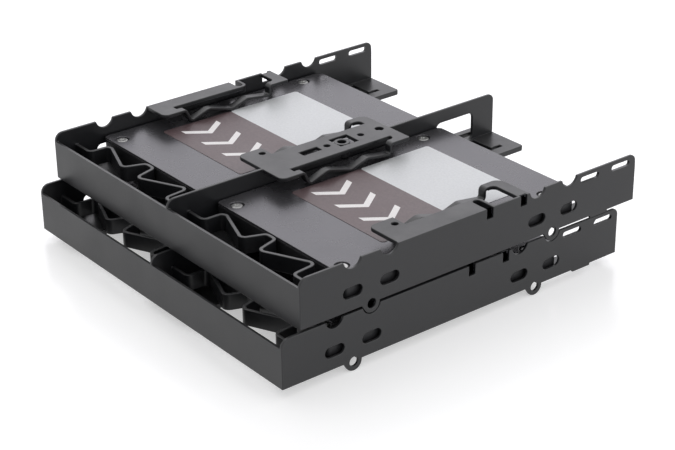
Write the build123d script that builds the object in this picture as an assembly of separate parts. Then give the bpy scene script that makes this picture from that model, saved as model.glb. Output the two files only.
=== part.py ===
from build123d import *
import math
import os

os.makedirs("parts", exist_ok=True)

# Two moulded plastic trays, one above the other, fill one wide drive bay.
# Each tray holds two slim drives side by side. Lengths are in millimetres.
# X runs across the bay, Y from the closed front end to the open rear, Z up.

# Tray moulding
tray_length = 147.0
wall = 1.8
wall_height = 17.6
front_wall_height = 14.4
plate_thickness = 2.0
wide_plate_reach = 16.7
narrow_plate_reach = 6.6
rear_corner_radius = 2.5

# Stacking of the two trays
stack_shift = 7.4
stack_gap = 0.9

# Mounting holes in the outer walls
hole_spacing = 79.25
lug_hole_radius = 1.7
lug_radius = 3.3
lug_height = -0.2
lug_lead = 4.0
lug_relief_depth = 6.0
notch_clearance = 0.3
slot_pitch = 15.0
first_slot_y = 20.75
slot_height = 6.5
slot_length = 7.8
slot_width = 3.9

# Slits and small openings in the outer walls
slit_width = 2.8
slit_depth = 3.8
front_slit_y = 78.5
rear_slit_setback = 2.7
rear_slot_centres = (124.6, 139.6)
rear_slot_length = 8.8
rear_slot_width = 2.2
rear_slot_height = 15.2
rest_pad_centre = 130.0
rest_pad_length = 8.4
rest_pad_clearance = 0.1

# Divider window behind the drives
window_front = 118.8
window_length = 17.7
window_top = 12.6
window_radius = 2.0

# Ledges above the drives: those on the left of a bay, then those on its right
ledge_thickness = 1.4
left_ledge = {"block_length": 7.4, "reach": 10.8, "strip_reach": 5.4, "rear_radius": 1.0}
right_ledge = {"block_length": 10.4, "reach": 13.7, "strip_reach": 7.3, "rear_radius": 3.6}
ledge_corner_radius = 2.5
rear_ledge_length = 4.9
rear_ledge_cap = 2.7
rear_ledge_notch_radius = 1.8
block_hole_radius = 1.2
block_hole_inset = (9.5, 7.8)

# The bent wall that closes the front slit where it runs into a strip
hook_wall = 1.2
hook_depth = 2.8

# Leaf springs under the ledges
leaf_width = 3.1
leaf_thickness = 1.0
leaf_gap = 0.1
leaf_root = 1.0
leaf_shoulder = 2.2
leaf_drop = 4.5
leaf_crest_share = 0.31
leaf_low_share = 0.56
leaf_peak_share = 0.74
leaf_crest_rise = 2.8
leaf_peak_rise = 2.3
leaf_foot_rise = 0.8
leaf_arch_reach = 3.9
leaf_radii = (1.2, 1.5, 4.0, 3.0, 2.5, 1.2, 1.2)

# Openings along the middle ledge, on a line just left of the divider
middle_line = -1.2
middle_recess = 4.0
window_hole = (3.2, 8.0)
window_hole_y = 61.3
pin_holes = ((68.7, 1.2), (84.0, 1.2), (92.6, 1.6))
boss_hole = (7.2, 8.0)
boss_hole_y = 76.2
boss_y = 75.4
boss_radius = 2.9
boss_bore_radius = 1.6
boss_bore_depth = 4.0
boss_drop = 0.3
boss_gap = 0.3

# Wave springs at the front of each bay, each place measured from the left wall
ribbon_thickness = 1.3
ribbon_bottom = 5.5
ribbon_top = 11.4
ribbon_gap = 0.3
ribbon_radius = 2.0
ribbon_ends = (8.4, 8.0)
ribbon_left_lobe = (8.4, 17.1)
ribbon_left_dip = (27.2, 10.2)
ribbon_crest = (30.2, 35.1)
ribbon_right_dip = (37.8, 9.3)
ribbon_right_lobe = (57.0, 18.3)
ribbon_right_foot = 58.1

# Latch tongues in the plates, behind the drive
tongue_length = 6.0
tongue_reach = 12.1
tongue_slit = 1.6
tongue_root = 0.6
tongue_y = 134.6
narrow_slot_inset = 1.2
narrow_slot_width = 2.5

# Slim drives
drive_width = 69.85
drive_length = 100.2
drive_height = 9.5
drive_front = 19.3
drive_lift = 0.1
drive_side_gap = 0.225
case_wall = 2.6
case_floor = 1.2
case_corner = 1.6
lid_thickness = 0.9
lid_gap = 0.05
side_hole_radius = 1.25
side_hole_height = 3.0
side_hole_places = (14.0, 90.6)
side_hole_depth = 2.0

# Lid screws
screw_head_radius = 2.3
screw_head_height = 0.6
screw_recess = 0.2
screw_recess_gap = 0.25
screw_shank_radius = 0.8
screw_shank_length = 3.4
screw_shank_sides = 6
front_screw_inset = (6.5, 3.9)
rear_screw_inset = (3.6, 11.0)
screw_boss_width = 4.0

# Stickers on the lid
sticker_thickness = 0.12
sticker_width = 49.0
sticker_radius = 1.2
band_length = 30.4
label_length = 31.2
band_front = 19.0
right_sticker_shift = 4.7

# Circuit board and connector
board_thickness = 1.0
board_gap = 0.4
board_height = 3.2
board_rear_gap = 4.4
chip_size = (14.0, 18.0, 1.2)
chip_columns = 3
chip_rows = 3
chip_pitch = (19.5, 23.0)
chip_shift = 6.0
socket_width = 36.0
socket_height = 4.4
socket_depth = 5.6
socket_offset = -9.5
socket_bottom = 2.6
socket_wall = 0.9
socket_setback = 0.4
socket_clearance = 0.1
blade_thickness = 1.15
blade_key = 0.9
data_blade = 9.6
power_blade = 19.6
blade_inset = 0.6
contact_pitch = 1.27
contact_width = 0.7
contact_thickness = 0.12
contact_setback = 0.5
contact_shift = 0.2
data_contacts = 7
power_contacts = 15

# Derived places
bay_width = drive_width + 2 * drive_side_gap
tray_width = 2 * bay_width + 3 * wall
half_width = tray_width / 2
bay_centre = (bay_width + wall) / 2
stack_pitch = wall_height + stack_gap
front_corner_radius = wall_height - front_wall_height
lug_bottom = lug_height - lug_radius
notch_height = stack_pitch + lug_height
notch_radius = lug_radius + notch_clearance
front_lug_y = first_slot_y + slot_pitch - stack_shift
rear_lug_y = front_lug_y + hole_spacing
last_slot_y = rear_lug_y + stack_shift
slot_centres = (
    first_slot_y,
    first_slot_y + slot_pitch,
    last_slot_y - slot_pitch,
    last_slot_y,
)
ledge_front = slot_centres[1] + notch_radius
ledge_bottom = wall_height - ledge_thickness
rear_ledge_end = slot_centres[2] - notch_radius
rear_ledge_front = rear_ledge_end - rear_ledge_length
slit_centres = (front_slit_y, rear_ledge_end - rear_slit_setback)
hook_radius = slit_width / 2 + hook_wall
lower_front = -(tray_length + stack_shift) / 2
upper_front = lower_front + stack_shift
lower_base = -lug_bottom
upper_base = lower_base + stack_pitch
drive_base = plate_thickness + drive_lift
sticker_top = drive_base + drive_height + sticker_thickness
lid_underside = drive_height - lid_thickness
case_height = lid_underside - lid_gap


def block(x0, x1, y0, y1, z0, z1):
    """A plain box between two corners."""
    size = (x1 - x0, y1 - y0, z1 - z0)
    middle = ((x0 + x1) / 2, (y0 + y1) / 2, (z0 + z1) / 2)
    return Pos(*middle) * Box(*size)


def upright(face, x_from, x_to):
    """Extrudes an outline drawn in Y and Z from one X place to another."""
    return Pos(x_from, 0, 0) * extrude(Plane.YZ * face, amount=x_to - x_from)


def lug_outline(y):
    """A round ear below the wall, with a straight lead on its front side."""
    corner = (-lug_lead, -lug_height)
    distance = math.hypot(*corner)
    turn = math.atan2(corner[1], corner[0]) + math.acos(lug_radius / distance)
    touch = (lug_radius * math.cos(turn), lug_radius * math.sin(turn))
    lead = make_face(Polyline(corner, touch, (0, 0), (0, -lug_height), corner))
    ear = Circle(lug_radius) + lead
    return Pos(y, lug_height) * ear


def plain_wall_outline():
    """Side view of a wall, rounded down to the front wall and at the rear."""
    low = Pos(tray_length / 2, wall_height / 2) * Rectangle(tray_length, wall_height)
    top = low.vertices().group_by(Axis.Y)[-1].sort_by(Axis.X)
    rounded = fillet(top[0], front_corner_radius)
    rear = rounded.vertices().group_by(Axis.Y)[-1].sort_by(Axis.X)[-1]
    return fillet(rear, rear_corner_radius)


def outer_wall_outline():
    """Side view of an outer wall with its ears, notches, slots and slits."""
    outline = plain_wall_outline()
    for y in (front_lug_y, rear_lug_y):
        outline += lug_outline(y)
        outline -= Pos(y, lug_height) * Circle(lug_hole_radius)
    pad_drop = stack_pitch - wall_height - rest_pad_clearance
    pad = Rectangle(rest_pad_length, pad_drop)
    outline += Pos(rest_pad_centre, -pad_drop / 2) * pad
    for y in slot_centres:
        outline -= Pos(y, slot_height) * SlotOverall(slot_length, slot_width)
        outline -= Pos(y, notch_height) * Circle(notch_radius)
    for y in slit_centres:
        slit = Rectangle(slit_width, 2 * slit_depth)
        outline -= Pos(y, wall_height) * slit
    for y in rear_slot_centres:
        hole = Rectangle(rear_slot_length, rear_slot_width)
        outline -= Pos(y, rear_slot_height) * hole
    return outline


def divider_outline():
    """Side view of the middle wall with its window behind the drives."""
    height = window_top - plate_thickness
    centre = (window_front + window_length / 2, plate_thickness + height / 2)
    window = RectangleRounded(window_length, height, window_radius)
    return plain_wall_outline() - Pos(*centre) * window


def ribbon(left):
    """A thin wave spring that spans one bay in front of the drive."""
    crest_y = drive_front - ribbon_gap - ribbon_thickness / 2
    points = (
        (-wall / 2, ribbon_ends[0]),
        (ribbon_left_lobe[0], ribbon_ends[0]),
        ribbon_left_lobe,
        ribbon_left_dip,
        (ribbon_crest[0], crest_y),
        (ribbon_crest[1], crest_y),
        ribbon_right_dip,
        ribbon_right_lobe,
        (ribbon_right_foot, ribbon_ends[1]),
        (bay_width + wall / 2, ribbon_ends[1]),
    )
    path = FilletPolyline(*points, radius=ribbon_radius)
    band = make_face(offset(path, ribbon_thickness / 2, kind=Kind.INTERSECTION))
    return Pos(left, 0, ribbon_bottom) * extrude(band, amount=ribbon_top - ribbon_bottom)


def leaf_profile():
    """Side view of a leaf spring: two waves down to the drive, then a round arch."""
    root = ledge_front + left_ledge["block_length"]
    arch = rear_ledge_front - leaf_arch_reach
    span = arch - root
    low = sticker_top + leaf_gap + leaf_thickness / 2
    flat = wall_height - leaf_thickness / 2
    points = (
        (root - leaf_root, flat),
        (root + leaf_shoulder, flat),
        (root + leaf_drop, low),
        (root + span * leaf_crest_share, low + leaf_crest_rise),
        (root + span * leaf_low_share, low),
        (root + span * leaf_peak_share, low + leaf_peak_rise),
        (arch, low + leaf_foot_rise),
        (arch, flat),
        (rear_ledge_front + leaf_root, flat),
    )
    path = FilletPolyline(*points, radius=leaf_radii)
    return make_face(offset(path, leaf_thickness / 2, kind=Kind.INTERSECTION))


def patch(x0, x1, y0, y1):
    """A flat rectangle between two corners."""
    return Pos((x0 + x1) / 2, (y0 + y1) / 2) * Rectangle(x1 - x0, y1 - y0)


def round_corner(face, x, y, radius):
    """Rounds the corner of a flat outline that lies nearest to a place."""
    corner = face.vertices().sort_by_distance((x, y, 0))[0]
    return fillet(corner, radius)


def slab(face, bottom, top):
    """Extrudes a plan drawn in X and Y between two heights."""
    return Pos(0, 0, bottom) * extrude(face, amount=top - bottom)


def ledge_ends(form):
    """Plan of a ledge's front block and rear plate, from the wall's inner face."""
    reach = form["reach"]
    block_end = ledge_front + form["block_length"]
    front = patch(0, reach, ledge_front, block_end)
    front = round_corner(front, reach, ledge_front, ledge_corner_radius)
    leaf_start = reach - leaf_width
    cap = patch(leaf_start, reach, rear_ledge_front - rear_ledge_cap, rear_ledge_front)
    rear = patch(0, reach, rear_ledge_front, rear_ledge_end) + cap
    rear = round_corner(rear, leaf_start, rear_ledge_front, rear_ledge_notch_radius)
    rear = round_corner(rear, reach, rear_ledge_end, form["rear_radius"])
    if form is right_ledge:
        inset, setback = block_hole_inset
        front -= Pos(inset, ledge_front + setback) * Circle(block_hole_radius)
    return front + rear


def ledge_strip(form):
    """Plan of the strip and the bent wall that ends it, round the front slit."""
    reach = form["strip_reach"]
    turn = reach - hook_radius
    strip = patch(0, reach, ledge_front, front_slit_y)
    bend = patch(0, turn, front_slit_y, front_slit_y + hook_radius)
    bend += Pos(turn, front_slit_y) * Circle(hook_radius)
    return strip, bend


def slit_plan(form):
    """Plan of the front slit, from outside the wall to its round inner end."""
    turn = form["strip_reach"] - hook_radius
    half = slit_width / 2
    straight = patch(-2 * wall, turn, front_slit_y - half, front_slit_y + half)
    return straight + Pos(turn, front_slit_y) * Circle(half)


def leaf(form):
    """A leaf spring along the inner edge of a ledge."""
    return upright(leaf_profile(), form["reach"] - leaf_width, form["reach"])


def placed(shape, inner, form):
    """Sets a ledge drawn from the wall's face outwards on a bay's wall."""
    if form is right_ledge:
        shape = mirror(shape, about=Plane.YZ)
    return Pos(inner, 0, 0) * shape


def outer_ledge(inner, form):
    """The ledge on an outer wall, with its leaf spring and bent slit wall."""
    strip, bend = ledge_strip(form)
    shape = slab(ledge_ends(form) + strip, ledge_bottom, wall_height) + leaf(form)
    shape += slab(bend, wall_height - hook_depth, wall_height)
    return placed(shape - slab(slit_plan(form), 0, wall_height + 1), inner, form)


def middle_ledge():
    """The ledge over the divider, which reaches into both bays."""
    shape = patch(
        -wall / 2 - right_ledge["strip_reach"],
        wall / 2 + left_ledge["strip_reach"],
        ledge_front,
        rear_ledge_end,
    )
    shape = slab(shape, ledge_bottom, wall_height)
    for inner, form in ((wall / 2, left_ledge), (-wall / 2, right_ledge)):
        side = slab(ledge_ends(form), ledge_bottom, wall_height) + leaf(form)
        shape += placed(side, inner, form)
    return shape


def middle_openings():
    """Holes along the middle ledge, cut down into the divider below it."""
    plan = Pos(middle_line, window_hole_y) * Rectangle(*window_hole)
    plan += Pos(middle_line, boss_hole_y) * Rectangle(*boss_hole)
    for y, radius in pin_holes:
        plan += Pos(middle_line, y) * Circle(radius)
    return slab(plan, wall_height - middle_recess, wall_height + 1)


def middle_boss():
    """The hollow round boss that stands in the square opening."""
    top = wall_height - boss_drop
    place = Pos(middle_line, boss_y)
    boss = slab(place * Circle(boss_radius), sticker_top + boss_gap, top)
    return boss - slab(place * Circle(boss_bore_radius), top - boss_bore_depth, top + 1)


def bottom_plates():
    """Flat rails at the foot of the walls, on which the drives lie."""
    plates = None
    for inner in (-half_width + wall, wall / 2):
        wide = patch(inner, inner + wide_plate_reach, 0, tray_length)
        wide = round_corner(wide, inner + wide_plate_reach, tray_length, rear_corner_radius / 2)
        wide -= tongue_slits(inner)
        plates = wide if plates is None else plates + wide
    for inner in (-wall / 2, half_width - wall):
        narrow = patch(inner - narrow_plate_reach, inner, 0, tray_length)
        plates += narrow - narrow_slot(inner)
    return slab(plates, 0, plate_thickness)


def tongue_slits(inner):
    """The L-shaped cut that frees a latch tongue at the rear of a wide plate."""
    edge = inner + tongue_reach
    across = patch(inner + tongue_root, edge, tongue_y, tongue_y + tongue_slit)
    return across + patch(edge - tongue_slit, edge, tongue_y, tongue_y + tongue_length)


def narrow_slot(inner):
    """The slot in a narrow plate, level with the latch tongue across the bay."""
    edge = inner - narrow_slot_inset
    return patch(edge - narrow_slot_width, edge, tongue_y, tongue_y + tongue_length)


def lug_reliefs():
    """Room in the plates for the tip of a screw behind each ear's hole."""
    plan = Sketch()
    for y in (front_lug_y, rear_lug_y):
        near, far = y - lug_hole_radius, y + lug_hole_radius
        for side in (-1, 1):
            ends = sorted((side * (half_width - wall), side * (half_width - lug_relief_depth)))
            plan += patch(*ends, near, far)
    return slab(plan, -1, lug_height + lug_hole_radius)


def tray():
    """One tray, standing on Z 0 with its front face on Y 0."""
    outer = outer_wall_outline()
    shape = upright(outer, -half_width, -half_width + wall)
    shape += upright(outer, half_width - wall, half_width)
    shape += upright(divider_outline(), -wall / 2, wall / 2)
    shape += block(-half_width, half_width, 0, wall, 0, front_wall_height)
    shape += bottom_plates()
    shape += outer_ledge(-half_width + wall, left_ledge)
    shape += outer_ledge(half_width - wall, right_ledge)
    shape += middle_ledge()
    shape -= middle_openings()
    shape += middle_boss()
    for left in (-half_width + wall, wall / 2):
        shape += ribbon(left)
    return shape - lug_reliefs()


def rounded_plate(width, length, thickness, radius):
    """A flat plate with rounded corners, from its front edge on Y 0."""
    face = Pos(0, length / 2) * RectangleRounded(width, length, radius)
    return extrude(face, amount=thickness)


def screw_places():
    """Lid screw centres, measured on the drive from the middle of its front."""
    half = drive_width / 2
    front_x = half - front_screw_inset[0]
    rear_x = half - rear_screw_inset[0]
    rear_y = drive_length - rear_screw_inset[1]
    front_y = front_screw_inset[1]
    return ((-front_x, front_y), (front_x, front_y), (-rear_x, rear_y), (rear_x, rear_y))


def shank_outline():
    """Six-sided outline in place of a screw's fine thread."""
    return RegularPolygon(screw_shank_radius, screw_shank_sides)


def boss_square(x, y, clearance=0.0):
    """Plan of the square boss round one lid screw."""
    half = screw_boss_width / 2 + clearance
    return patch(x - half, x + half, y - half, y + half)


def drive_case():
    """The drive's lower shell, with screw bosses and threaded side holes."""
    outside = rounded_plate(drive_width, drive_length, case_height, case_corner)
    half = drive_width / 2 - case_wall
    inside = patch(-half, half, case_wall, drive_length - case_wall)
    shell = outside - slab(inside, case_floor, case_height + 1)
    for x, y in screw_places():
        shell += slab(boss_square(x, y), 0, case_height)
    for x, y in screw_places():
        tip = case_height - screw_shank_length
        shell -= slab(Pos(x, y) * shank_outline(), tip, case_height + 1)
    for place in side_hole_places:
        for side in (-1, 1):
            hole = Rot(0, 90, 0) * Cylinder(side_hole_radius, 2 * side_hole_depth)
            shell -= Pos(side * drive_width / 2, drive_length - place, side_hole_height) * hole
    mouth = block(
        socket_offset - socket_width / 2,
        socket_offset + socket_width / 2,
        drive_length - case_wall - 1,
        drive_length + 1,
        socket_bottom,
        socket_bottom + socket_height,
    )
    return shell - mouth


def drive_lid():
    """The drive's flat cover with a recess at each screw."""
    lid = Pos(0, 0, lid_underside) * rounded_plate(drive_width, drive_length, lid_thickness, case_corner)
    seat = drive_height - screw_head_height - screw_recess
    for x, y in screw_places():
        lid -= slab(Pos(x, y) * Circle(screw_head_radius + screw_recess_gap), seat, drive_height + 1)
        lid -= slab(Pos(x, y) * shank_outline(), lid_underside - 1, drive_height)
    return lid


def lid_screws():
    """Four small screws with low round heads."""
    seat = drive_height - screw_head_height - screw_recess
    screw = slab(Circle(screw_head_radius), seat, seat + screw_head_height)
    screw += slab(shank_outline(), case_height - screw_shank_length, seat)
    return [Pos(x, y) * screw for x, y in screw_places()]


def board():
    """The circuit board inside the case, cut away round the screw bosses."""
    half = drive_width / 2 - case_wall - board_gap
    plan = patch(-half, half, case_wall + board_gap, drive_length - case_wall - board_rear_gap)
    for x, y in screw_places():
        plan -= boss_square(x, y, board_gap)
    return slab(plan, board_height, board_height + board_thickness)


def chips():
    """Memory chips in rows on the board."""
    top = board_height + board_thickness
    first_x = -chip_pitch[0] * (chip_columns - 1) / 2
    first_y = drive_length / 2 - chip_pitch[1] * (chip_rows - 1) / 2 - chip_shift
    placed = []
    for column in range(chip_columns):
        for row in range(chip_rows):
            chip = Pos(0, 0, chip_size[2] / 2) * Box(*chip_size)
            x = first_x + column * chip_pitch[0]
            y = first_y + row * chip_pitch[1]
            placed.append(Pos(x, y, top) * chip)
    return placed


def blade_places():
    """Centre and width of the two keyed blades inside the connector."""
    inner = socket_width - 2 * socket_wall - 2 * blade_inset
    left = socket_offset - inner / 2
    right = socket_offset + inner / 2
    return ((left + power_blade / 2, power_blade), (right - data_blade / 2, data_blade))


def socket():
    """The plug housing at the rear, with an L-keyed blade for each plug."""
    rear = drive_length - socket_setback
    front = rear - socket_depth
    low = socket_bottom + socket_clearance
    high = socket_bottom + socket_height - socket_clearance
    half = socket_width / 2 - socket_clearance
    shell = block(socket_offset - half, socket_offset + half, front, rear, low, high)
    shell -= block(
        socket_offset - half + socket_wall,
        socket_offset + half - socket_wall,
        front + socket_wall,
        rear + 1,
        low + socket_wall / 2,
        high - socket_wall / 2,
    )
    middle = (low + high) / 2
    under = middle - blade_thickness / 2
    for x, width in blade_places():
        end = x + width / 2
        shell += block(x - width / 2, end, front, rear, under, under + blade_thickness)
        shell += block(end - blade_thickness, end, front, rear, under - blade_key, middle)
    return shell


def contacts():
    """Flat contact strips on top of the two blades."""
    rear = drive_length - socket_setback
    top = socket_bottom + (socket_height + blade_thickness) / 2
    front = rear - socket_depth + socket_wall
    half = contact_width / 2
    strips = []
    for (x, width), count in zip(blade_places(), (power_contacts, data_contacts)):
        first = x - contact_pitch * (count - 1) / 2 - contact_shift
        for k in range(count):
            centre = first + k * contact_pitch
            rim = (centre - half, centre + half, front, rear - contact_setback)
            strips.append(block(*rim, top, top + contact_thickness))
    return strips


def sticker(front, length):
    """A thin rounded sticker on the lid."""
    plate = rounded_plate(sticker_width, length, sticker_thickness, sticker_radius)
    return Pos(0, front, drive_height) * plate


def drive(shift):
    """All pieces of one drive, with its front on Y 0 and its base on Z 0."""
    return {
        "case": drive_case(),
        "lid": drive_lid(),
        "lid_screws": lid_screws(),
        "circuit_board": board(),
        "memory_chips": chips(),
        "connector": socket(),
        "contacts": contacts(),
        "label_band": sticker(band_front + shift, band_length),
        "label_plate": sticker(band_front + shift + band_length, label_length),
    }


def save(name, shape, place):
    """Writes one node, a single solid or a group of solids, at its place."""
    solids = shape if isinstance(shape, list) else [shape]
    placed = [place * solid for solid in solids]
    node = placed[0] if len(placed) == 1 else Compound(children=placed)
    export_step(node, f"parts/{name}.step")


def main():
    """Builds both trays and the four drives and writes every node."""
    moulding = tray()
    levels = (("lower", lower_front, lower_base), ("upper", upper_front, upper_base))
    sides = (("left", -bay_centre, 0.0), ("right", bay_centre, right_sticker_shift))
    for level, front, base in levels:
        save(f"{level}_tray", moulding, Pos(0, front, base))
    for side, centre, shift in sides:
        pieces = drive(shift)
        for level, front, base in levels:
            place = Pos(centre, front + drive_front, base + drive_base)
            for piece, shape in pieces.items():
                save(f"{level}_{side}_{piece}", shape, place)


main()
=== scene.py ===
"""Looks of a stacked drive mounting bracket: two moulded trays that hold four slim drives."""

import math

import bmesh
import bpy
from bpy.props import FloatProperty, FloatVectorProperty, IntProperty, PointerProperty
from mathutils import Matrix, Vector


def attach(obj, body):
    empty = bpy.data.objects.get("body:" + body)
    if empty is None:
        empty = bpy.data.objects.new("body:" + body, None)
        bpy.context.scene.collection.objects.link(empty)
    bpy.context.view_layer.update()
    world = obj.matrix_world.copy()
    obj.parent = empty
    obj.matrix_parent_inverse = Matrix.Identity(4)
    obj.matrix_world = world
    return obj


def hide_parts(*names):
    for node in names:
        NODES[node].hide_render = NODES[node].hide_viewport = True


bl_info = {
    "name": "Drive Mounting Bracket",
    "version": (1, 0, 0),
    "blender": (4, 5, 0),
    "location": "3D View > Sidebar > Bracket",
    "description": "Finishes two stacked drive trays, their four slim drives and a studio stage",
    "category": "Object",
}

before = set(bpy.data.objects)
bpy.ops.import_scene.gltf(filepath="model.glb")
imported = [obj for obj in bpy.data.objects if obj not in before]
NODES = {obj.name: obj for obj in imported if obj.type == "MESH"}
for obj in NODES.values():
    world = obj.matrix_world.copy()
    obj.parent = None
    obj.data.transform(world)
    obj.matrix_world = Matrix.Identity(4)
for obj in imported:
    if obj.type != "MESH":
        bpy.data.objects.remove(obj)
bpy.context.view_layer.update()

MM = 0.001
LEVELS = ("lower", "upper")
SIDES = ("left", "right")
DRIVES = [f"{level}_{side}" for level in LEVELS for side in SIDES]
PRINT_THICKNESS = 0.02 * MM
MARKS_PER_BAND = 3

# Cleaning and rounding of the copied meshes: lengths in metres, angles in degrees
MERGE_DISTANCE = 0.001 * MM
SLIVER = 0.02 * MM
FLAT_ANGLE = 0.5
SHARP_ANGLE = 35
SLOT_END_FACETS = 5

# Shape of a screw head: shares of its height and of the recess's width
SCREW_FACETS = 40
SHOULDER_SHARE = 0.62
SHOULDER_FACETS = 5
RECESS_FLOOR_SHARE = 0.72
SCREW_EDGE = 0.05 * MM
SCREW_SHARP_ANGLE = 40

# Span of a noise texture that is worth spreading over a whole range
NOISE_LOW = 0.3
NOISE_HIGH = 0.7

# Scale of a surface's slow cloud, as a share of its grain's scale
CLOUD_SHARE = 0.02

# How far a surface's roughness goes below and above its mean
TRAY_SMOOTHER = 0.05
TRAY_ROUGHER = 0.06
PART_ROUGHNESS_SPREAD = 0.06

WHITE = (1.0, 1.0, 1.0)
DUST_COLOUR = (0.22, 0.22, 0.22, 1.0)
STEEL_DARK = (0.24, 0.24, 0.24, 1.0)
STEEL_LIGHT = (0.40, 0.40, 0.39, 1.0)

# Name, place in metres, size in metres, share of the lamp power and colour
LAMPS = (
    ("key", Vector((-0.55, 0.25, 0.95)), 0.9, 0.9, WHITE),
    ("fill", Vector((0.5, -0.9, 0.55)), 0.8, 0.12, WHITE),
    ("back", Vector((-0.72, 0.56, 0.5)), 0.9, 0.8, (0.92, 0.89, 1.0)),
    ("side", Vector((0.95, 0.25, 0.3)), 0.7, 0.95, (0.98, 0.98, 1.0)),
)
LAMPS_AIM = Vector((0.0, 0.0, 0.02))
FLOOR_SIZE = 6.0
FLOOR_ROUGHNESS = 0.22
FLOOR_GLOW = 0.45
SENSOR_WIDTH = 36.0
CLIP_START = 0.05
CLIP_END = 20.0

# Part, slot, colour, roughness, metallic share and grain size of the drives' inner parts
INNER_PARTS = (
    ("circuit_board", "board", (0.012, 0.045, 0.03), 0.42, 0.0, 0.6 * MM),
    ("memory_chips", "chip", (0.02, 0.02, 0.022), 0.55, 0.0, 0.15 * MM),
    ("connector", "connector_plastic", (0.018, 0.018, 0.02), 0.45, 0.0, 0.3 * MM),
    ("contacts", "contact", (0.78, 0.55, 0.24), 0.28, 1.0, 0.2 * MM),
)

# Places in the source that the tray's finish has to find
NEAR = 0.02 * MM
SOURCE_WALL = 1.8 * MM
SLOT_MIDDLES = (124.6 * MM, 139.6 * MM)
SLOT_LENGTH = 8.8 * MM
SLOT_WIDTH = 2.2 * MM
SLOT_DROP = 2.4 * MM


# Sizes and colours that a user would change

class TraySettings(bpy.types.PropertyGroup):
    """Finish of the moulded trays."""
    colour: FloatVectorProperty(
        name="Plastic Colour", description="Base colour of the moulded plastic",
        subtype="COLOR", size=3, min=0, max=1, default=(0.0105, 0.0108, 0.0125))
    roughness: FloatProperty(
        name="Roughness", description="Mean roughness of the spark-eroded surface",
        subtype="FACTOR", min=0, max=1, default=0.36)
    grain: FloatProperty(
        name="Grain Size", description="Size of the fine moulded grain",
        subtype="DISTANCE", unit="LENGTH", default=0.35 * MM, precision=5)
    edge: FloatProperty(
        name="Edge Radius", description="Rounding that the mould leaves on every edge",
        subtype="DISTANCE", unit="LENGTH", default=0.26 * MM, precision=5)
    edge_steps: IntProperty(
        name="Edge Steps", description="Facets across each rounded edge", min=1, max=6, default=3)
    wall: FloatProperty(
        name="Wall", description="Thickness of the finished walls, as seen in the photograph",
        subtype="DISTANCE", unit="LENGTH", default=1.1 * MM, precision=5)
    slot_round: FloatProperty(
        name="Slot Rounding", description="Radius at the ends of the rear slots",
        subtype="DISTANCE", unit="LENGTH", default=1.0 * MM, precision=5)


class DriveSettings(bpy.types.PropertyGroup):
    """Finish of the drives' metal shells."""
    lid_colour: FloatVectorProperty(
        name="Lid Colour", description="Colour of the painted lid",
        subtype="COLOR", size=3, min=0, max=1, default=(0.088, 0.086, 0.094))
    case_colour: FloatVectorProperty(
        name="Case Colour", description="Colour of the lower shell",
        subtype="COLOR", size=3, min=0, max=1, default=(0.02, 0.02, 0.022))
    edge: FloatProperty(
        name="Edge Radius", description="Rounding along the edges of the shells",
        subtype="DISTANCE", unit="LENGTH", default=0.18 * MM, precision=5)
    edge_steps: IntProperty(
        name="Edge Steps", description="Facets across each rounded edge", min=1, max=6, default=2)


class LabelSettings(bpy.types.PropertyGroup):
    """Colours of the sticker on each lid."""
    band_colour: FloatVectorProperty(
        name="Band Colour", description="Warm grey of the front band",
        subtype="COLOR", size=3, min=0, max=1, default=(0.104, 0.071, 0.075))
    plate_colour: FloatVectorProperty(
        name="Plate Colour", description="Pale silver of the rear part",
        subtype="COLOR", size=3, min=0, max=1, default=(0.60, 0.612, 0.625))
    mark_colour: FloatVectorProperty(
        name="Mark Colour", description="Colour of the printed arrowheads",
        subtype="COLOR", size=3, min=0, max=1, default=(0.88, 0.85, 0.85))
    mark_size: FloatVectorProperty(
        name="Mark Size", description="Depth, height and stroke of one arrowhead",
        subtype="TRANSLATION", unit="LENGTH", size=3, default=(8.8 * MM, 15.8 * MM, 2.9 * MM))
    mark_pitch: FloatProperty(
        name="Mark Pitch", description="Step from one arrowhead to the next",
        subtype="DISTANCE", unit="LENGTH", default=12.9 * MM, precision=5)
    mark_inset: FloatVectorProperty(
        name="Mark Inset", description="From the band's front left corner to the first arrowhead",
        subtype="XYZ_LENGTH", unit="LENGTH", size=2, default=(4.2 * MM, 5.3 * MM))


class ScrewSettings(bpy.types.PropertyGroup):
    """Sizes of the small pan-head screws in the lids."""
    head_radius: FloatProperty(
        name="Head Radius", description="Radius of the head",
        subtype="DISTANCE", unit="LENGTH", default=2.05 * MM, precision=5)
    head_height: FloatProperty(
        name="Head Height", description="Height of the head above the lid's recess",
        subtype="DISTANCE", unit="LENGTH", default=0.6 * MM, precision=5)
    cross_width: FloatProperty(
        name="Cross Width", description="Length of each bar of the cross recess",
        subtype="DISTANCE", unit="LENGTH", default=2.3 * MM, precision=5)
    cross_bar: FloatProperty(
        name="Cross Bar", description="Width of each bar of the cross recess",
        subtype="DISTANCE", unit="LENGTH", default=0.75 * MM, precision=5)
    shank_radius: FloatProperty(
        name="Shank Radius", description="Radius of the shank below the head",
        subtype="DISTANCE", unit="LENGTH", default=0.68 * MM, precision=5)


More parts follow.
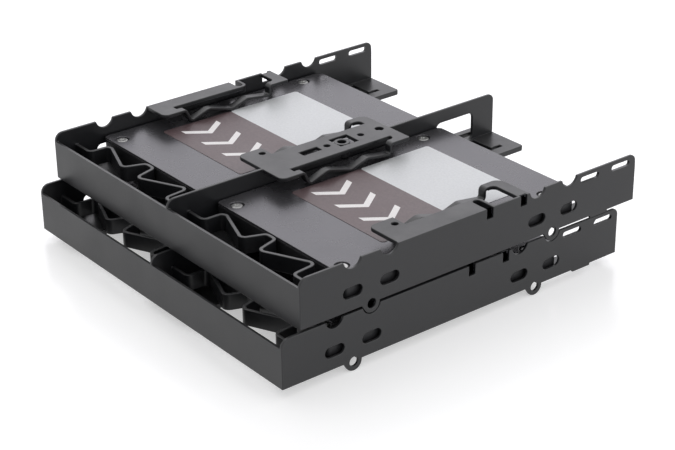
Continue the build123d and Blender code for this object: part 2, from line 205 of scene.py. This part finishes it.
class StageSettings(bpy.types.PropertyGroup):
    """Camera, lamps and floor."""
    azimuth: FloatProperty(
        name="Azimuth", description="Turn of the camera round the bracket, from the front",
        subtype="ANGLE", unit="ROTATION", default=math.radians(52.11))
    elevation: FloatProperty(
        name="Elevation", description="Height of the camera above the horizon",
        subtype="ANGLE", unit="ROTATION", default=math.radians(25.64))
    roll: FloatProperty(
        name="Roll", description="Tilt of the camera about its own axis",
        subtype="ANGLE", unit="ROTATION", default=math.radians(-0.76))
    distance: FloatProperty(
        name="Distance", description="From the camera to the point that it looks at",
        subtype="DISTANCE", unit="LENGTH", default=0.640)
    aim: FloatVectorProperty(
        name="Aim", description="Point that the camera looks at",
        subtype="TRANSLATION", unit="LENGTH", size=3, default=(0.0009, -0.0007, 0.0171))
    lens: FloatProperty(
        name="Lens", description="Focal length", subtype="DISTANCE_CAMERA", default=95.47)
    shift: FloatVectorProperty(
        name="Shift", description="Framing shift, as a share of the sensor's width",
        size=2, default=(0.0078, -0.0300), precision=4)
    ambient: FloatProperty(
        name="Ambient", description="Strength of the white room light", default=0.62)
    power: FloatProperty(
        name="Lamp Power", description="Power that the lamps share out between them",
        subtype="POWER", default=2.2)
    floor_colour: FloatVectorProperty(
        name="Floor Colour", description="Colour of the pale floor",
        subtype="COLOR", size=3, min=0, max=1, default=(0.8, 0.8, 0.81))


# Node helpers

def add_node(tree, kind, inputs=None, **values):
    """Adds a shader node, sets its properties and fills or links its inputs."""
    made = tree.nodes.new(kind)
    for key, value in values.items():
        setattr(made, key, value)
    for key, value in (inputs or {}).items():
        if isinstance(value, bpy.types.NodeSocket):
            tree.links.new(value, made.inputs[key])
        else:
            made.inputs[key].default_value = value
    return made


def new_group(name, inputs, outputs):
    """Starts a shader node group with named sockets, given as name, type and default."""
    tree = bpy.data.node_groups.new(name, "ShaderNodeTree")
    for label, kind, default in inputs:
        socket = tree.interface.new_socket(name=label, in_out="INPUT", socket_type=kind)
        if default is not None:
            socket.default_value = default
    for label, kind in outputs:
        tree.interface.new_socket(name=label, in_out="OUTPUT", socket_type=kind)
    start = tree.nodes.new("NodeGroupInput")
    end = tree.nodes.new("NodeGroupOutput")
    return tree, start.outputs, end.inputs


def new_material(name, principled):
    """A material with one Principled shader whose plain values are set on its own sockets."""
    material = bpy.data.materials.new(name)
    material.use_nodes = True
    tree = material.node_tree
    shader = tree.nodes["Principled BSDF"]
    for key, value in principled.items():
        shader.inputs[key].default_value = value
    return material, tree, shader


def rgba(colour, factor=1.0):
    """A colour with alpha, darker or lighter by a factor."""
    return tuple(min(1.0, c * factor) for c in colour) + (1.0,)


# Shared effects

def grain_group():
    """Fine moulded or sprayed grain: a height and a mask that varies around one half."""
    name = "Fine Grain"
    if name in bpy.data.node_groups:
        return bpy.data.node_groups[name]
    tree, given, wanted = new_group(
        name,
        [("Size", "NodeSocketFloat", 0.0004), ("Roughness", "NodeSocketFloat", 0.6)],
        [("Height", "NodeSocketFloat"), ("Cloud", "NodeSocketFloat")])
    place = add_node(tree, "ShaderNodeTexCoord").outputs["Object"]
    scale = add_node(tree, "ShaderNodeMath", {0: 1.0, 1: given["Size"]}, operation="DIVIDE")
    fine = add_node(tree, "ShaderNodeTexNoise", {
        "Vector": place, "Scale": scale.outputs[0], "Detail": 2.0, "Roughness": given["Roughness"]})
    slow_scale = add_node(
        tree, "ShaderNodeMath", {0: scale.outputs[0], 1: CLOUD_SHARE}, operation="MULTIPLY")
    slow = add_node(tree, "ShaderNodeTexNoise", {
        "Vector": place, "Scale": slow_scale.outputs[0], "Detail": 4.0, "Roughness": 0.55})
    tree.links.new(fine.outputs["Fac"], wanted["Height"])
    tree.links.new(slow.outputs["Fac"], wanted["Cloud"])
    return tree


def edge_group():
    """A mask that is 1 on rounded outer edges and 0 on flat faces, for a painted highlight along
    the edges.
    """
    name = "Edge Wear"
    if name in bpy.data.node_groups:
        return bpy.data.node_groups[name]
    tree, given, wanted = new_group(
        name,
        [("Reach", "NodeSocketFloat", 0.0004), ("Gain", "NodeSocketFloat", 4.0)],
        [("Mask", "NodeSocketFloat")])
    rounded = add_node(tree, "ShaderNodeBevel", {"Radius": given["Reach"]}, samples=4)
    flat = add_node(tree, "ShaderNodeNewGeometry").outputs["Normal"]
    match = add_node(
        tree, "ShaderNodeVectorMath", {0: rounded.outputs[0], 1: flat}, operation="DOT_PRODUCT")
    turn = add_node(
        tree, "ShaderNodeMath", {0: 1.0, 1: match.outputs["Value"]}, operation="SUBTRACT")
    strong = add_node(
        tree, "ShaderNodeMath", {0: turn.outputs[0], 1: given["Gain"]},
        operation="MULTIPLY", use_clamp=True)
    tree.links.new(strong.outputs[0], wanted["Mask"])
    return tree


def dust_group():
    """A soft mask for faint dust that lies on faces which look up."""
    name = "Settled Dust"
    if name in bpy.data.node_groups:
        return bpy.data.node_groups[name]
    tree, given, wanted = new_group(
        name,
        [("Patch", "NodeSocketFloat", 0.012), ("Amount", "NodeSocketFloat", 0.3)],
        [("Mask", "NodeSocketFloat")])
    place = add_node(tree, "ShaderNodeTexCoord").outputs["Object"]
    scale = add_node(tree, "ShaderNodeMath", {0: 1.0, 1: given["Patch"]}, operation="DIVIDE")
    cloud = add_node(tree, "ShaderNodeTexNoise", {
        "Vector": place, "Scale": scale.outputs[0], "Detail": 6.0, "Roughness": 0.65})
    normal = add_node(tree, "ShaderNodeNewGeometry").outputs["Normal"]
    up = add_node(tree, "ShaderNodeSeparateXYZ", {0: normal}).outputs["Z"]
    facing = add_node(
        tree, "ShaderNodeMapRange", {"Value": up, "From Min": 0.4, "From Max": 1.0})
    patches = add_node(
        tree, "ShaderNodeMapRange",
        {"Value": cloud.outputs["Fac"], "From Min": 0.35, "From Max": 0.75})
    both = add_node(
        tree, "ShaderNodeMath", {0: facing.outputs[0], 1: patches.outputs[0]},
        operation="MULTIPLY")
    mask = add_node(
        tree, "ShaderNodeMath", {0: both.outputs[0], 1: given["Amount"]}, operation="MULTIPLY")
    tree.links.new(mask.outputs[0], wanted["Mask"])
    return tree


def use_group(tree, group, inputs):
    """Places a shared node group in a material with its own values."""
    made = add_node(tree, "ShaderNodeGroup", node_tree=group)
    for key, value in inputs.items():
        made.inputs[key].default_value = value
    return made.outputs


def mix_colour(tree, share, low, high, blend="MIX"):
    """Mixes two colours or sockets by a share socket or number."""
    made = add_node(tree, "ShaderNodeMix", data_type="RGBA", blend_type=blend)
    for key, value in (("Factor", share), ("A", low), ("B", high)):
        sockets = [s for s in made.inputs if s.name == key and s.enabled]
        if isinstance(value, bpy.types.NodeSocket):
            tree.links.new(value, sockets[0])
        else:
            sockets[0].default_value = value
    return [s for s in made.outputs if s.enabled][0]


def remap(tree, value, low, high, to_low, to_high):
    """A Map Range node from one span to another."""
    return add_node(tree, "ShaderNodeMapRange", {
        "Value": value, "From Min": low, "From Max": high,
        "To Min": to_low, "To Max": to_high}).outputs[0]


def spread(tree, noise, low, high):
    """Spreads a noise value over a range."""
    return remap(tree, noise, NOISE_LOW, NOISE_HIGH, low, high)


def mottled(tree, noise, colour, low, high):
    """A colour that a noise value makes darker and lighter between two factors."""
    return mix_colour(
        tree, spread(tree, noise, 0.0, 1.0), rgba(colour, low), rgba(colour, high))


def finish_surface(tree, shader, colour, rough, height=None, depth=0.0, strength=0.0):
    """Links a colour, a roughness and, where there is a height, a bump to the shader."""
    tree.links.new(colour, shader.inputs["Base Color"])
    tree.links.new(rough, shader.inputs["Roughness"])
    if height:
        bump = add_node(tree, "ShaderNodeBump", {
            "Height": height, "Distance": depth, "Strength": strength})
        tree.links.new(bump.outputs["Normal"], shader.inputs["Normal"])


# Materials of this object

def tray_plastic():
    """Matte black moulding with a fine eroded grain and a painted highlight that makes its edges
    slightly paler.
    """
    look = bpy.context.scene.tray_settings
    material, tree, shader = new_material(
        "tray_plastic", {"IOR": 1.49, "Specular IOR Level": 0.48})
    grain = use_group(tree, grain_group(), {"Size": look.grain, "Roughness": 0.6})
    edge = use_group(tree, edge_group(), {"Reach": 0.25 * MM, "Gain": 2.6})
    dust = use_group(tree, dust_group(), {"Patch": 14 * MM, "Amount": 0.18})
    base = mottled(tree, grain["Cloud"], look.colour, low=0.88, high=1.12)
    # Painted highlight: the edge mask makes the base colour seven times lighter along the rounded
    # edges.
    painted_edge_highlight = mix_colour(tree, edge["Mask"], base, rgba(look.colour, factor=7.0))
    dusty = mix_colour(tree, dust["Mask"], painted_edge_highlight, DUST_COLOUR)
    rough = spread(
        tree, grain["Cloud"], look.roughness - TRAY_SMOOTHER, look.roughness + TRAY_ROUGHER)
    finish_surface(
        tree, shader, dusty, rough, grain["Height"], depth=0.03 * MM, strength=0.35)
    return material


def shell_paint(name, colour, metallic, grain_size, detail, cloud, edge_highlight_gain, rough_span, strength):
    """Paint on sheet metal: fine grain, a slight cloud and paler edges that are a painted
    highlight.
    """
    material, tree, shader = new_material(name, {"IOR": 1.5, "Metallic": metallic})
    grain = use_group(tree, grain_group(), {"Size": grain_size, "Roughness": detail})
    edge = use_group(tree, edge_group(), {"Reach": 0.25 * MM, "Gain": 2.0})
    base = mottled(tree, grain["Cloud"], colour, *cloud)
    # Painted highlight: the edge mask lightens the paint along the rounded edges by the given
    # factor.
    painted_edge_highlight = mix_colour(tree, edge["Mask"], base, rgba(colour, factor=edge_highlight_gain))
    rough = spread(tree, grain["Cloud"], *rough_span)
    finish_surface(
        tree, shader, painted_edge_highlight, rough, grain["Height"], depth=0.02 * MM, strength=strength)
    return material


def lid_paint():
    """Satin grey paint on the drive's lid."""
    look = bpy.context.scene.drive_settings
    # The edge factor sets the painted highlight along the lid's edges.
    return shell_paint(
        "drive_lid", look.lid_colour, metallic=0.55, grain_size=0.25 * MM, detail=0.55,
        cloud=(0.94, 1.06), edge_highlight_gain=1.8, rough_span=(0.24, 0.30), strength=0.25)


def case_paint():
    """Dark coating on the drive's lower shell."""
    look = bpy.context.scene.drive_settings
    # The edge factor sets the painted highlight along the case's edges.
    return shell_paint(
        "drive_case", look.case_colour, metallic=0.3, grain_size=0.3 * MM, detail=0.6,
        cloud=(0.9, 1.1), edge_highlight_gain=2.4, rough_span=(0.42, 0.5), strength=0.3)


def band_print():
    """Warm grey printed film with a faint mottle."""
    look = bpy.context.scene.label_settings
    material, tree, shader = new_material("label_band", {"IOR": 1.46})
    fine = use_group(tree, grain_group(), {"Size": 0.9 * MM, "Roughness": 0.75})
    base = mottled(tree, fine["Height"], look.band_colour, low=0.8, high=1.22)
    paler = remap(tree, fine["Cloud"], 0.35, 0.65, 0.0, 0.5)
    cloudy = mix_colour(tree, paler, base, rgba(look.band_colour, factor=1.25))
    rough = spread(tree, fine["Cloud"], 0.36, 0.46)
    finish_surface(
        tree, shader, cloudy, rough, fine["Height"], depth=0.015 * MM, strength=0.2)
    return material


def plate_print():
    """Pale silver film with a very fine mottle."""
    look = bpy.context.scene.label_settings
    material, tree, shader = new_material("label_plate", {"IOR": 1.46, "Metallic": 0.15})
    fine = use_group(tree, grain_group(), {"Size": 0.8 * MM, "Roughness": 0.7})
    base = mottled(tree, fine["Height"], look.plate_colour, low=0.94, high=1.05)
    rough = spread(tree, fine["Cloud"], 0.34, 0.44)
    finish_surface(
        tree, shader, base, rough, fine["Height"], depth=0.015 * MM, strength=0.2)
    return material


def mark_ink():
    """White ink of the printed arrowheads."""
    look = bpy.context.scene.label_settings
    material, tree, shader = new_material("mark_ink", {"IOR": 1.46})
    fine = use_group(tree, grain_group(), {"Size": 0.5 * MM, "Roughness": 0.6})
    base = mottled(tree, fine["Height"], look.mark_colour, low=0.95, high=1.04)
    finish_surface(tree, shader, base, spread(tree, fine["Cloud"], 0.4, 0.5))
    return material


def screw_steel():
    """Darkened steel of the lid screws."""
    material, tree, shader = new_material("screw", {"Metallic": 1.0})
    grain = use_group(tree, grain_group(), {"Size": 0.12 * MM, "Roughness": 0.6})
    base = mix_colour(
        tree, spread(tree, grain["Cloud"], 0.0, 1.0), STEEL_DARK, STEEL_LIGHT)
    rough = spread(tree, grain["Height"], 0.26, 0.4)
    finish_surface(
        tree, shader, base, rough, grain["Height"], depth=0.01 * MM, strength=0.3)
    return material


def plain_part(name, colour, roughness, metallic, grain_size):
    """A small inner part: one colour with its own grain and slight cloud."""
    material, tree, shader = new_material(name, {"Metallic": metallic})
    grain = use_group(tree, grain_group(), {"Size": grain_size, "Roughness": 0.6})
    base = mottled(tree, grain["Cloud"], colour, low=0.85, high=1.15)
    rough = spread(
        tree, grain["Cloud"], roughness - PART_ROUGHNESS_SPREAD,
        roughness + PART_ROUGHNESS_SPREAD)
    finish_surface(
        tree, shader, base, rough, grain["Height"], depth=0.01 * MM, strength=0.3)
    return material


# Modelling helpers

def deselect_all():
    """Leaves nothing selected."""
    bpy.ops.object.select_all(action="DESELECT")


def activate(obj):
    """Makes one object the only selected and active one."""
    deselect_all()
    obj.select_set(True)
    bpy.context.view_layer.objects.active = obj


def copy_of(node, name):
    """A merged copy of a frame node's mesh, with slivers gone and flat faces made whole."""
    obj = bpy.data.objects.new(name, NODES[node].data.copy())
    bpy.context.scene.collection.objects.link(obj)
    activate(obj)
    bpy.ops.object.mode_set(mode="EDIT")
    bpy.ops.mesh.select_all(action="SELECT")
    bpy.ops.mesh.remove_doubles(threshold=MERGE_DISTANCE)
    bpy.ops.mesh.dissolve_degenerate(threshold=SLIVER)
    bpy.ops.mesh.dissolve_limited(angle_limit=math.radians(FLAT_ANGLE))
    bpy.ops.object.mode_set(mode="OBJECT")
    return obj


def weigh_edges(obj, angle, skip):
    """Gives bevel weight 1 to sharp edges, apart from those whose ends a test leaves out."""
    mesh = bmesh.new()
    mesh.from_mesh(obj.data)
    weight = mesh.edges.layers.float.new("bevel_weight_edge")
    for edge in mesh.edges:
        sharp = edge.calc_face_angle(0.0) > math.radians(angle)
        edge[weight] = float(sharp and not any(skip(end.co) for end in edge.verts))
    mesh.to_mesh(obj.data)
    mesh.free()


def round_edges(obj, width, segments, angle=SHARP_ANGLE, skip=None):
    """Rounds the sharp edges, apart from skipped places, and smooths the shading between them."""
    activate(obj)
    rounding = obj.modifiers.new("rounding", "BEVEL")
    rounding.width = width
    rounding.segments = segments
    rounding.limit_method = "WEIGHT" if skip else "ANGLE"
    rounding.angle_limit = math.radians(angle)
    if skip:
        weigh_edges(obj, angle, skip)
    rounding.use_clamp_overlap = False
    rounding.harden_normals = False
    bpy.ops.object.modifier_apply(modifier="rounding")
    smooth_faces(obj, angle)


def smooth_faces(obj, angle):
    """Smooth shading that leaves the wide flat faces truly flat."""
    activate(obj)
    bpy.ops.object.shade_smooth_by_angle(angle=math.radians(angle))
    weights = obj.modifiers.new("flat faces lead", "WEIGHTED_NORMAL")
    weights.keep_sharp = True
    bpy.ops.object.modifier_apply(modifier="flat faces lead")


def select_where(obj, kind, test):
    """Selects, in edit mode, only the vertices, edges or faces that pass a test."""
    bpy.ops.mesh.select_all(action="DESELECT")
    bpy.ops.mesh.select_mode(type=kind)
    mesh = bmesh.from_edit_mesh(obj.data)
    parts = {"VERT": mesh.verts, "EDGE": mesh.edges, "FACE": mesh.faces}[kind]
    for part in parts:
        part.select_set(test(part))
    bmesh.update_edit_mesh(obj.data)


def move_plane(obj, axis, value, step):
    """Moves, in edit mode, every vertex that lies on one plane."""
    select_where(obj, "VERT", lambda vertex: abs(vertex.co[axis] - value) < NEAR)
    shift = Vector((0.0, 0.0, 0.0))
    shift[axis] = step
    bpy.ops.transform.translate(value=shift)


def thin_walls(tray, wall):
    """Moves the walls' inner faces until the side, front and middle walls are as thin as seen."""
    front = min(vertex.co.y for vertex in tray.data.vertices)
    side = max(vertex.co.x for vertex in tray.data.vertices)
    slimmer = SOURCE_WALL - wall
    activate(tray)
    bpy.ops.object.mode_set(mode="EDIT")
    for sign in (-1.0, 1.0):
        move_plane(tray, 0, sign * (side - SOURCE_WALL), sign * slimmer)
        move_plane(tray, 0, sign * SOURCE_WALL / 2, -sign * slimmer / 2)
    move_plane(tray, 1, front + SOURCE_WALL, -slimmer)
    bpy.ops.object.mode_set(mode="OBJECT")


def round_slots(tray, radius):
    """Rounds the ends of the side walls' four rear slots, and returns a test for their rims."""
    front = min(vertex.co.y for vertex in tray.data.vertices)
    top = max(vertex.co.z for vertex in tray.data.vertices)
    corners = [
        (front + middle + end * SLOT_LENGTH / 2, top - SLOT_DROP + rise * SLOT_WIDTH / 2)
        for middle in SLOT_MIDDLES for end in (-1, 1) for rise in (-1, 1)
    ]

    def at_corner(place):
        return any(
            abs(place.y - y) < NEAR and abs(place.z - z) < NEAR for y, z in corners)

    def across_wall(edge):
        one, two = (end.co for end in edge.verts)
        return (
            at_corner(one) and at_corner(two) and abs(one.x - two.x) > NEAR
            and abs(one.y - two.y) < NEAR and abs(one.z - two.z) < NEAR)

    def at_slot(place):
        return abs(place.z - top + SLOT_DROP) < SLOT_WIDTH / 2 + NEAR and any(
            abs(place.y - front - middle) < SLOT_LENGTH / 2 + NEAR for middle in SLOT_MIDDLES)

    activate(tray)
    bpy.ops.object.mode_set(mode="EDIT")
    select_where(tray, "EDGE", across_wall)
    bpy.ops.mesh.bevel(offset=radius, segments=SLOT_END_FACETS, affect="EDGES")
    bpy.ops.object.mode_set(mode="OBJECT")
    return at_slot


def solid_places(node):
    """Middle of the plan, foot and top of each solid in a frame node."""
    loose = copy_of(node, "loose")
    bpy.ops.object.mode_set(mode="EDIT")
    bpy.ops.mesh.select_all(action="SELECT")
    bpy.ops.mesh.separate(type="LOOSE")
    bpy.ops.object.mode_set(mode="OBJECT")
    places = []
    for piece in list(bpy.context.selected_objects):
        spans = [sorted(v.co[axis] for v in piece.data.vertices) for axis in range(3)]
        low, high = Vector([s[0] for s in spans]), Vector([s[-1] for s in spans])
        places.append(((low.x + high.x) / 2, (low.y + high.y) / 2, low.z, high.z))
        bpy.data.objects.remove(piece)
    return sorted(places)


def join_pieces(pieces, name):
    """Joins pieces into one object at the origin."""
    deselect_all()
    for piece in pieces:
        piece.select_set(True)
    bpy.context.view_layer.objects.active = pieces[0]
    bpy.ops.object.transform_apply(location=True, rotation=True, scale=True)
    if len(pieces) > 1:
        bpy.ops.object.join()
    joined = bpy.context.view_layer.objects.active
    joined.name = name
    return joined


def duplicate_at(obj, place):
    """A copy of an object with its own mesh, moved to a place."""
    made = obj.copy()
    made.data = obj.data.copy()
    made.location = place
    bpy.context.scene.collection.objects.link(made)
    return made


def finish_piece(obj, material, body, replaced=None):
    """Gives a piece its material, its body and the node it stands for."""
    obj.data.materials.clear()
    obj.data.materials.append(material)
    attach(obj, body)
    if replaced:
        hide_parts(replaced)


# Operators

class BRACKET_OT_trays(bpy.types.Operator):
    """Give both moulded trays rounded edges and matte plastic"""
    bl_idname = "bracket.trays"
    bl_label = "Finish Trays"

    def execute(self, context):
        look = context.scene.tray_settings
        plastic = tray_plastic()
        for level in LEVELS:
            node = f"{level}_tray"
            tray = copy_of(node, f"{level}_tray_moulding")
            thin_walls(tray, look.wall)
            at_slot = round_slots(tray, look.slot_round)
            round_edges(tray, look.edge, look.edge_steps, skip=at_slot)
            finish_piece(tray, plastic, node, node)
        return {"FINISHED"}


class BRACKET_OT_shells(bpy.types.Operator):
    """Give the drives' cases and lids rounded edges and their paint"""
    bl_idname = "bracket.shells"
    bl_label = "Finish Drive Shells"

    def execute(self, context):
        look = context.scene.drive_settings
        paints = (("case", case_paint(), "drive_case"), ("lid", lid_paint(), "drive_lid"))
        for drive in DRIVES:
            for part, paint, slot in paints:
                node = f"{drive}_{part}"
                shell = copy_of(node, f"{node}_shell")
                round_edges(shell, look.edge, look.edge_steps)
                finish_piece(shell, paint, f"{drive}_drive", node)
        return {"FINISHED"}


def cross_cutter(look):
    """Two crossed bars that narrow downwards, for the recess in a screw's head."""
    bars = []
    for turned in (False, True):
        deselect_all()
        bpy.ops.mesh.primitive_cube_add(size=1.0, location=(0.0, 0.0, look.head_height))
        bar = bpy.context.object
        long, thin = look.cross_width, look.cross_bar
        bar.scale = (thin, long, look.head_height) if turned else (long, thin, look.head_height)
        bpy.ops.object.transform_apply(location=True, rotation=True, scale=True)
        bpy.ops.object.mode_set(mode="EDIT")
        select_where(bar, "FACE", lambda face: face.normal.z < -0.5)
        bpy.ops.transform.resize(value=(RECESS_FLOOR_SHARE, RECESS_FLOOR_SHARE, 1.0))
        bpy.ops.object.mode_set(mode="OBJECT")
        bars.append(bar)
    return bars


def make_screw(look, length):
    """A pan-head screw with a cross recess, its head's seat on Z 0."""
    deselect_all()
    bpy.ops.mesh.primitive_cylinder_add(
        vertices=SCREW_FACETS, radius=look.head_radius, depth=look.head_height,
        location=(0.0, 0.0, look.head_height / 2))
    screw = bpy.context.object
    bpy.ops.object.transform_apply(location=True, rotation=True, scale=True)
    bpy.ops.object.mode_set(mode="EDIT")
    select_where(screw, "FACE", lambda face: face.normal.z > 0.5)
    bpy.ops.mesh.bevel(
        offset=look.head_height * SHOULDER_SHARE, segments=SHOULDER_FACETS, profile=0.5)
    select_where(screw, "FACE", lambda face: face.normal.z < -0.5)
    bpy.ops.mesh.inset(thickness=look.head_radius - look.shank_radius)
    bpy.ops.mesh.extrude_region_move(TRANSFORM_OT_translate={"value": (0.0, 0.0, -length)})
    bpy.ops.object.mode_set(mode="OBJECT")
    for bar in cross_cutter(look):
        activate(screw)
        cut = screw.modifiers.new("cross", "BOOLEAN")
        cut.operation = "DIFFERENCE"
        cut.solver = "EXACT"
        cut.object = bar
        bpy.ops.object.modifier_apply(modifier="cross")
        bpy.data.objects.remove(bar)
    round_edges(screw, SCREW_EDGE, 2, angle=SCREW_SHARP_ANGLE)
    return screw


class BRACKET_OT_screws(bpy.types.Operator):
    """Model the pan-head screws of the lids"""
    bl_idname = "bracket.screws"
    bl_label = "Model Lid Screws"

    def execute(self, context):
        look = context.scene.screw_settings
        steel = screw_steel()
        for drive in DRIVES:
            node = f"{drive}_lid_screws"
            places = solid_places(node)
            foot, top = places[0][2:]
            seat = top - look.head_height
            model = make_screw(look, seat - foot)
            copies = [duplicate_at(model, (x, y, seat)) for x, y, _, _ in places]
            bpy.data.objects.remove(model)
            screws = join_pieces(copies, f"{node}_pan_head")
            finish_piece(screws, steel, f"{drive}_drive", node)
        return {"FINISHED"}


class BRACKET_OT_labels(bpy.types.Operator):
    """Print the two parts of each drive's sticker"""
    bl_idname = "bracket.labels"
    bl_label = "Finish Labels"

    def execute(self, context):
        prints = (("label_band", band_print()), ("label_plate", plate_print()))
        for drive in DRIVES:
            for part, material in prints:
                node = NODES[f"{drive}_{part}"]
                node.data.materials.clear()
                node.data.materials.append(material)
        return {"FINISHED"}


def make_arrowhead(look):
    """One printed arrowhead: a bent bar of even height, with a thin edge."""
    depth, height, stroke = look.mark_size
    deselect_all()
    bpy.ops.mesh.primitive_grid_add(x_subdivisions=1, y_subdivisions=2, size=1.0)
    mark = bpy.context.object
    mark.scale = (stroke, height, 1.0)
    bpy.ops.object.transform_apply(location=True, rotation=True, scale=True)
    bpy.ops.object.mode_set(mode="EDIT")
    select_where(mark, "VERT", lambda vertex: abs(vertex.co.y) < NEAR)
    bpy.ops.transform.translate(value=(depth - stroke, 0.0, 0.0))
    bpy.ops.mesh.select_all(action="SELECT")
    bpy.ops.transform.translate(value=(stroke / 2, height / 2, 0.0))
    bpy.ops.object.mode_set(mode="OBJECT")
    film = mark.modifiers.new("film", "SOLIDIFY")
    film.thickness = PRINT_THICKNESS
    film.offset = 1.0
    bpy.ops.object.modifier_apply(modifier="film")
    return mark


class BRACKET_OT_marks(bpy.types.Operator):
    """Print three plain arrowheads on each band, where the photographed drives have words"""
    bl_idname = "bracket.marks"
    bl_label = "Print Arrowheads"

    def execute(self, context):
        look = context.scene.label_settings
        ink = mark_ink()
        model = make_arrowhead(look)
        for drive in DRIVES:
            _, _, _, top = solid_places(f"{drive}_label_band")[0]
            spans = NODES[f"{drive}_label_band"].bound_box
            left, front = min(c[0] for c in spans), min(c[1] for c in spans)
            first = Vector((left + look.mark_inset[0], front + look.mark_inset[1], top))
            copies = [
                duplicate_at(model, first + Vector((look.mark_pitch * k, 0.0, 0.0)))
                for k in range(MARKS_PER_BAND)
            ]
            marks = join_pieces(copies, f"{drive}_band_marks")
            finish_piece(marks, ink, f"{drive}_drive")
        bpy.data.objects.remove(model)
        return {"FINISHED"}


class BRACKET_OT_electronics(bpy.types.Operator):
    """Finish the boards, chips, connectors and contacts inside the drives"""
    bl_idname = "bracket.electronics"
    bl_label = "Finish Electronics"

    def execute(self, context):
        for part, slot, *values in INNER_PARTS:
            material = plain_part(slot, *values)
            for drive in DRIVES:
                node = NODES[f"{drive}_{part}"]
                node.data.materials.clear()
                node.data.materials.append(material)
        return {"FINISHED"}


def plain_ray(tree):
    """1 where the camera, a reflection or a refraction looks, and 0 for lighting."""
    path = add_node(tree, "ShaderNodeLightPath").outputs
    first = add_node(
        tree, "ShaderNodeMath", {0: path["Is Camera Ray"], 1: path["Is Glossy Ray"]},
        operation="MAXIMUM")
    return add_node(
        tree, "ShaderNodeMath", {0: first.outputs[0], 1: path["Is Transmission Ray"]},
        operation="MAXIMUM").outputs[0]


def make_world(ambient):
    """A white room whose light on the object is softer than its own white."""
    world = bpy.data.worlds.new("studio")
    bpy.context.scene.world = world
    world.use_nodes = True
    tree = world.node_tree
    background = tree.nodes["Background"]
    background.inputs["Color"].default_value = rgba(WHITE)
    strength = remap(tree, plain_ray(tree), 0.0, 1.0, ambient, 1.0)
    tree.links.new(strength, background.inputs["Strength"])


def make_floor(colour):
    """A pale floor that glows white to the camera and still takes a soft shadow."""
    deselect_all()
    bpy.ops.mesh.primitive_plane_add(size=FLOOR_SIZE, location=(0.0, 0.0, 0.0))
    floor = bpy.context.object
    floor.name = "floor"
    material = bpy.data.materials.new("pale_floor")
    material.use_nodes = True
    tree = material.node_tree
    shader = tree.nodes["Principled BSDF"]
    shader.inputs["Base Color"].default_value = rgba(colour)
    shader.inputs["Roughness"].default_value = FLOOR_ROUGHNESS
    shader.inputs["Emission Color"].default_value = rgba(WHITE)
    glow = remap(tree, plain_ray(tree), 0.0, 1.0, 0.0, FLOOR_GLOW)
    tree.links.new(glow, shader.inputs["Emission Strength"])
    floor.data.materials.append(material)


def make_lamps(power):
    """Soft square lamps above, before, behind and to the right of the bracket."""
    for name, place, size, share, colour in LAMPS:
        lamp = bpy.data.lights.new(name, "AREA")
        lamp.color = colour
        lamp.shape = "SQUARE"
        lamp.size = size
        lamp.energy = power * share
        holder = bpy.data.objects.new(name, lamp)
        bpy.context.scene.collection.objects.link(holder)
        turn = (LAMPS_AIM - place).to_track_quat("-Z", "Y").to_matrix().to_4x4()
        holder.matrix_world = Matrix.Translation(place) @ turn


def make_camera(look):
    """A long lens at the photograph's angle."""
    level = math.cos(look.elevation)
    back = Vector((
        math.sin(look.azimuth) * level,
        -math.cos(look.azimuth) * level,
        math.sin(look.elevation),
    ))
    right = Vector((0.0, 0.0, 1.0)).cross(back).normalized()
    axes = Matrix((right, back.cross(right), back)).transposed().to_4x4()
    data = bpy.data.cameras.new("camera")
    data.lens = look.lens
    data.sensor_width = SENSOR_WIDTH
    data.shift_x, data.shift_y = look.shift
    data.clip_start = CLIP_START
    data.clip_end = CLIP_END
    camera = bpy.data.objects.new("camera", data)
    bpy.context.scene.collection.objects.link(camera)
    place = Matrix.Translation(Vector(look.aim) + back * look.distance)
    camera.matrix_world = place @ axes @ Matrix.Rotation(look.roll, 4, "Z")
    bpy.context.scene.camera = camera


class BRACKET_OT_stage(bpy.types.Operator):
    """Set the pale floor, the soft studio light and the camera"""
    bl_idname = "bracket.stage"
    bl_label = "Set Stage"

    def execute(self, context):
        look = context.scene.stage_settings
        context.scene.view_settings.view_transform = "Standard"
        make_world(look.ambient)
        make_floor(look.floor_colour)
        make_lamps(look.power)
        make_camera(look)
        return {"FINISHED"}


OPERATORS = (
    BRACKET_OT_trays,
    BRACKET_OT_shells,
    BRACKET_OT_screws,
    BRACKET_OT_labels,
    BRACKET_OT_marks,
    BRACKET_OT_electronics,
    BRACKET_OT_stage,
)


class BRACKET_PT_panel(bpy.types.Panel):
    """Lists the steps and the settings of the bracket"""
    bl_idname = "BRACKET_PT_panel"
    bl_label = "Drive Mounting Bracket"
    bl_space_type = "VIEW_3D"
    bl_region_type = "UI"
    bl_category = "Bracket"

    def draw(self, context):
        layout = self.layout
        for operator in OPERATORS:
            layout.operator(operator.bl_idname)
        for name, kind in SETTINGS:
            box = layout.box()
            group = getattr(context.scene, name)
            for key in kind.__annotations__:
                box.prop(group, key)


SETTINGS = (
    ("tray_settings", TraySettings),
    ("drive_settings", DriveSettings),
    ("label_settings", LabelSettings),
    ("screw_settings", ScrewSettings),
    ("stage_settings", StageSettings),
)


def register():
    """Registers the settings, the operators and the panel."""
    for name, kind in SETTINGS:
        bpy.utils.register_class(kind)
        setattr(bpy.types.Scene, name, PointerProperty(type=kind))
    for kind in (*OPERATORS, BRACKET_PT_panel):
        bpy.utils.register_class(kind)


def unregister():
    """Removes what register added."""
    for kind in (BRACKET_PT_panel, *reversed(OPERATORS)):
        bpy.utils.unregister_class(kind)
    for name, kind in reversed(SETTINGS):
        delattr(bpy.types.Scene, name)
        bpy.utils.unregister_class(kind)


def main():
    """Builds everything in order."""
    register()
    bpy.ops.bracket.trays()
    bpy.ops.bracket.shells()
    bpy.ops.bracket.screws()
    bpy.ops.bracket.labels()
    bpy.ops.bracket.marks()
    bpy.ops.bracket.electronics()
    bpy.ops.bracket.stage()


if __name__ == "__main__":
    main()
